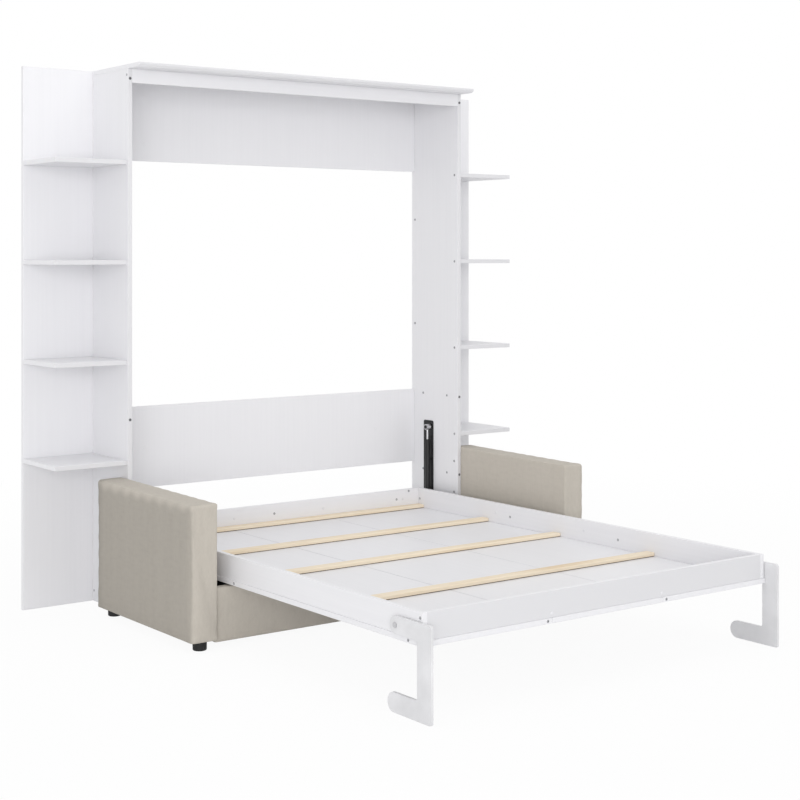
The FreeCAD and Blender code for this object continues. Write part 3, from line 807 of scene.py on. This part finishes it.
def drawSeams(block, pad, seams):
    block.data.update()
    moves = []
    for vert in block.data.vertices:
        distance, along = seamOffset(vert.co, seams)
        move = 0.0
        if distance < puckerNoise["reaches"] * pad["puckerReach"]:
            pucker = puckerAt(pad, along, vert.co.x)
            move += pucker * math.exp(-distance / pad["puckerReach"])
            move -= pad["seam"] * math.exp(-(distance / pad["seamReach"]) ** 2)
        moves.append(vert.normal * move)
    for vert, move in zip(block.data.vertices, moves):
        vert.co += move


def makePadded(node, pad, seams, settle):
    low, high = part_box(node)
    grow = Vector(pad["grow"])
    low = low - grow
    high = high + grow
    low.z += grow.z - pad["drop"]
    block = gridBlock(node + "_pad", low, high, pad["step"])
    roundBlock(block, low, high, pad)
    block.data.materials.append(finish["linen"])
    lines = seams(low, high, pad["tuck"])
    nearSeam = pad["step"] * clothRun["heldShare"]
    held = [
        vert.index for vert in block.data.vertices
        if seamOffset(vert.co, lines)[0] < nearSeam or vert.co.z < low.z + pad["step"]
    ]
    swell(block, pad, held)
    drawSeams(block, pad, lines)
    for vert in block.data.vertices:
        vert.co = settle(vert.co)
    for face in block.data.polygons:
        face.use_smooth = True
    smooth = block.modifiers.new("smooth", "SUBSURF")
    smooth.levels = 1
    smooth.render_levels = 1
    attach(block, "cabinet")
    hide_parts(node)


# seams up the front, along the top and down the back, on both sides of an arm
def armSeams(low, high, tuck):
    inset = Vector((tuck, tuck, tuck))
    near = low + inset
    far = high - inset
    lines = []
    for x in (near.x, far.x):
        corners = [
            Vector((x, near.y, low.z)), Vector((x, near.y, far.z)),
            Vector((x, far.y, far.z)), Vector((x, far.y, low.z)),
        ]
        lines += zip(corners, corners[1:])
    return lines


def seatSeams(low, high, tuck):
    front = low.y + tuck
    top = high.z - tuck
    return [(Vector((low.x, front, top)), Vector((high.x, front, top)))]


# room between an arm's inner face and the post beside it, and the top's fall towards the front
armSettle = {"face": 0.0006, "fall": 0.010}


def armSettler(node, sign):
    low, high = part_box(node)
    innerX = min(abs(low.x), abs(high.x)) + armSettle["face"]

    def settle(point):
        forward = (high.y - point.y) / (high.y - low.y)
        upward = (point.z - low.z) / (high.z - low.z)
        fall = armSettle["fall"] * max(0.0, forward) * max(0.0, upward)
        return Vector((sign * max(innerX, sign * point.x), point.y, point.z - fall))

    return settle


for side, sign in sides.items():
    arm = side + "_arm"
    makePadded(arm, armPad, armSeams, armSettler(arm, sign))
    print(side, "arm padded")


# the seat front stays between the arms and in front of the seat's rails
def seatSettler(node):
    low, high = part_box(node)

    def settle(point):
        return Vector((max(low.x, min(high.x, point.x)), min(high.y, point.y), point.z))

    return settle


makePadded("seat_front", seatPad, seatSeams, seatSettler("seat_front"))
print("seat front padded")


# Floor, light and camera

stageSet = {
    "floorSize": 60.0, "floorColor": (0.86, 0.86, 0.865), "skyLight": 0.8,
    "shadowShare": 0.06,
    "shadowNear": 2.2, "shadowFar": 4.5,        # the shadow fades out between these radii
}


# 1 where the camera sees the backdrop, also in metal or through glass
def cameraShare(tree):
    path = tree.nodes.new("ShaderNodeLightPath")
    share = addMath(tree, "MAXIMUM", path.outputs["Is Camera Ray"], path.outputs["Is Glossy Ray"])
    return addMath(tree, "MAXIMUM", share, path.outputs["Is Transmission Ray"])


# plain white to the camera, with a share of the object's shadow near the middle
def makeFloorMaterial():
    mat = bpy.data.materials.new("paleFloor")
    mat.use_nodes = True
    tree = mat.node_tree
    tree.nodes.remove(tree.nodes["Principled BSDF"])
    matte = tree.nodes.new("ShaderNodeBsdfDiffuse")
    matte.inputs["Color"].default_value = (*stageSet["floorColor"], 1)
    white = tree.nodes.new("ShaderNodeEmission")
    white.inputs["Strength"].default_value = 1.0
    reach = tree.nodes.new("ShaderNodeVectorMath")
    reach.operation = "LENGTH"
    tree.links.new(objectCoords(tree), reach.inputs[0])
    fade = tree.nodes.new("ShaderNodeMapRange")
    fade.inputs["From Min"].default_value = stageSet["shadowNear"]
    fade.inputs["From Max"].default_value = stageSet["shadowFar"]
    fade.inputs["To Min"].default_value = 1.0 - stageSet["shadowShare"]
    tree.links.new(reach.outputs["Value"], fade.inputs["Value"])
    share = addMath(tree, "MULTIPLY", cameraShare(tree), fade.outputs["Result"])
    mix = tree.nodes.new("ShaderNodeMixShader")
    tree.links.new(share, mix.inputs["Fac"])
    tree.links.new(matte.outputs["BSDF"], mix.inputs[1])
    tree.links.new(white.outputs["Emission"], mix.inputs[2])
    tree.links.new(mix.outputs["Shader"], tree.nodes["Material Output"].inputs["Surface"])
    return mat


def makeFloor():
    bm = bmesh.new()
    bmesh.ops.create_grid(bm, x_segments=1, y_segments=1, size=stageSet["floorSize"] / 2)
    mesh = bpy.data.meshes.new("floor")
    bm.to_mesh(mesh)
    bm.free()
    mesh.materials.append(makeFloorMaterial())
    floor = bpy.data.objects.new("floor", mesh)
    scene.collection.objects.link(floor)


def makeSky():
    world = bpy.data.worlds.new("studio")
    scene.world = world
    world.use_nodes = True
    tree = world.node_tree
    sky = tree.nodes["Background"]
    sky.inputs["Color"].default_value = (1, 1, 1, 1)
    strength = addRange(tree, cameraShare(tree), stageSet["skyLight"], 1.0)
    tree.links.new(strength, sky.inputs["Strength"])


softLights = {
    "overhead": {"place": (0.2, -0.8, 5.2), "aim": (0, 0, 0.3), "size": 5.0, "power": 48.0},
    "frontFill": {"place": (-7.2, -10.2, 1.7), "aim": (0, 0.4, 1.2), "size": 6.0, "power": 550.0},
    "sideFill": {"place": (-9.5, -5.0, 1.6), "aim": (0, 0, 1.0), "size": 6.0, "power": 70.0},
}


def makeLights():
    for name, setup in softLights.items():
        lamp = bpy.data.lights.new(name, "AREA")
        lamp.shape = "DISK"
        lamp.size = setup["size"]
        lamp.energy = setup["power"]
        light = bpy.data.objects.new(name, lamp)
        light.location = setup["place"]
        aim = Vector(setup["aim"]) - Vector(setup["place"])
        light.rotation_euler = aim.to_track_quat("-Z", "Y").to_euler()
        scene.collection.objects.link(light)


# a level camera, its angles in degrees: the horizon lies above the middle of the picture
photoCamera = {
    "place": (-3.742, -4.895, 1.436), "tip": 90.022, "turn": -36.803,
    "lens": 70.62, "sensor": 36.0, "rise": -0.182,
}


def makeCamera():
    lens = bpy.data.cameras.new("photoCamera")
    lens.lens = photoCamera["lens"]
    lens.sensor_width = photoCamera["sensor"]
    lens.shift_y = photoCamera["rise"]
    camera = bpy.data.objects.new("photoCamera", lens)
    camera.location = photoCamera["place"]
    tip, turn = math.radians(photoCamera["tip"]), math.radians(photoCamera["turn"])
    camera.rotation_euler = (tip, 0, turn)
    scene.collection.objects.link(camera)
    scene.camera = camera


makeFloor()
makeSky()
makeLights()
makeCamera()
scene.view_settings.view_transform = "Standard"
print("stage set")
